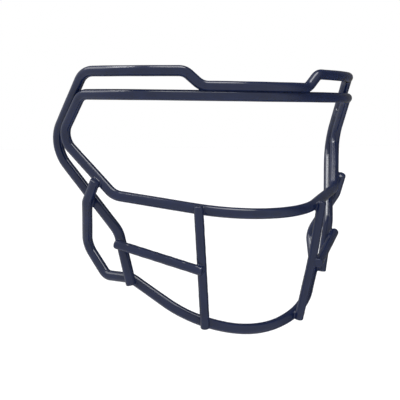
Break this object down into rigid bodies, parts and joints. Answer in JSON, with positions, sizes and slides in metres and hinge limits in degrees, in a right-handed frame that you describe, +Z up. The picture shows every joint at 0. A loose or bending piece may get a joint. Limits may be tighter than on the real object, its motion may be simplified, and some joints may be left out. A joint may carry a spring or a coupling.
{
  "type": "american football helmet face guard",
  "caption": "Welded wire face guard for an american football helmet: stepped brow bar, eye opening, temple loops, jaw loops and short cheek bars, dark navy coat.",
  "frame": {"origin": "middle of the guard's bounding box, on its plane of symmetry", "axes": "+Z up, -Y is the front of the guard, +X is the wearer's left"},
  "size_m": [0.2198, 0.1079, 0.1705],
  "materials": {
    "coat": "glossy navy polymer coat over steel wire"
  },
  "bodies": {
    "root": {"outer_wire": "coat", "eye_loop_wire": "coat", "chin_wire": "coat", "left_vertical_bar": "coat", "right_vertical_bar": "coat", "left_side_bar": "coat", "right_side_bar": "coat", "brow_seam_welds": "coat", "temple_leg_welds": "coat"}
  },
  "joints": []
}
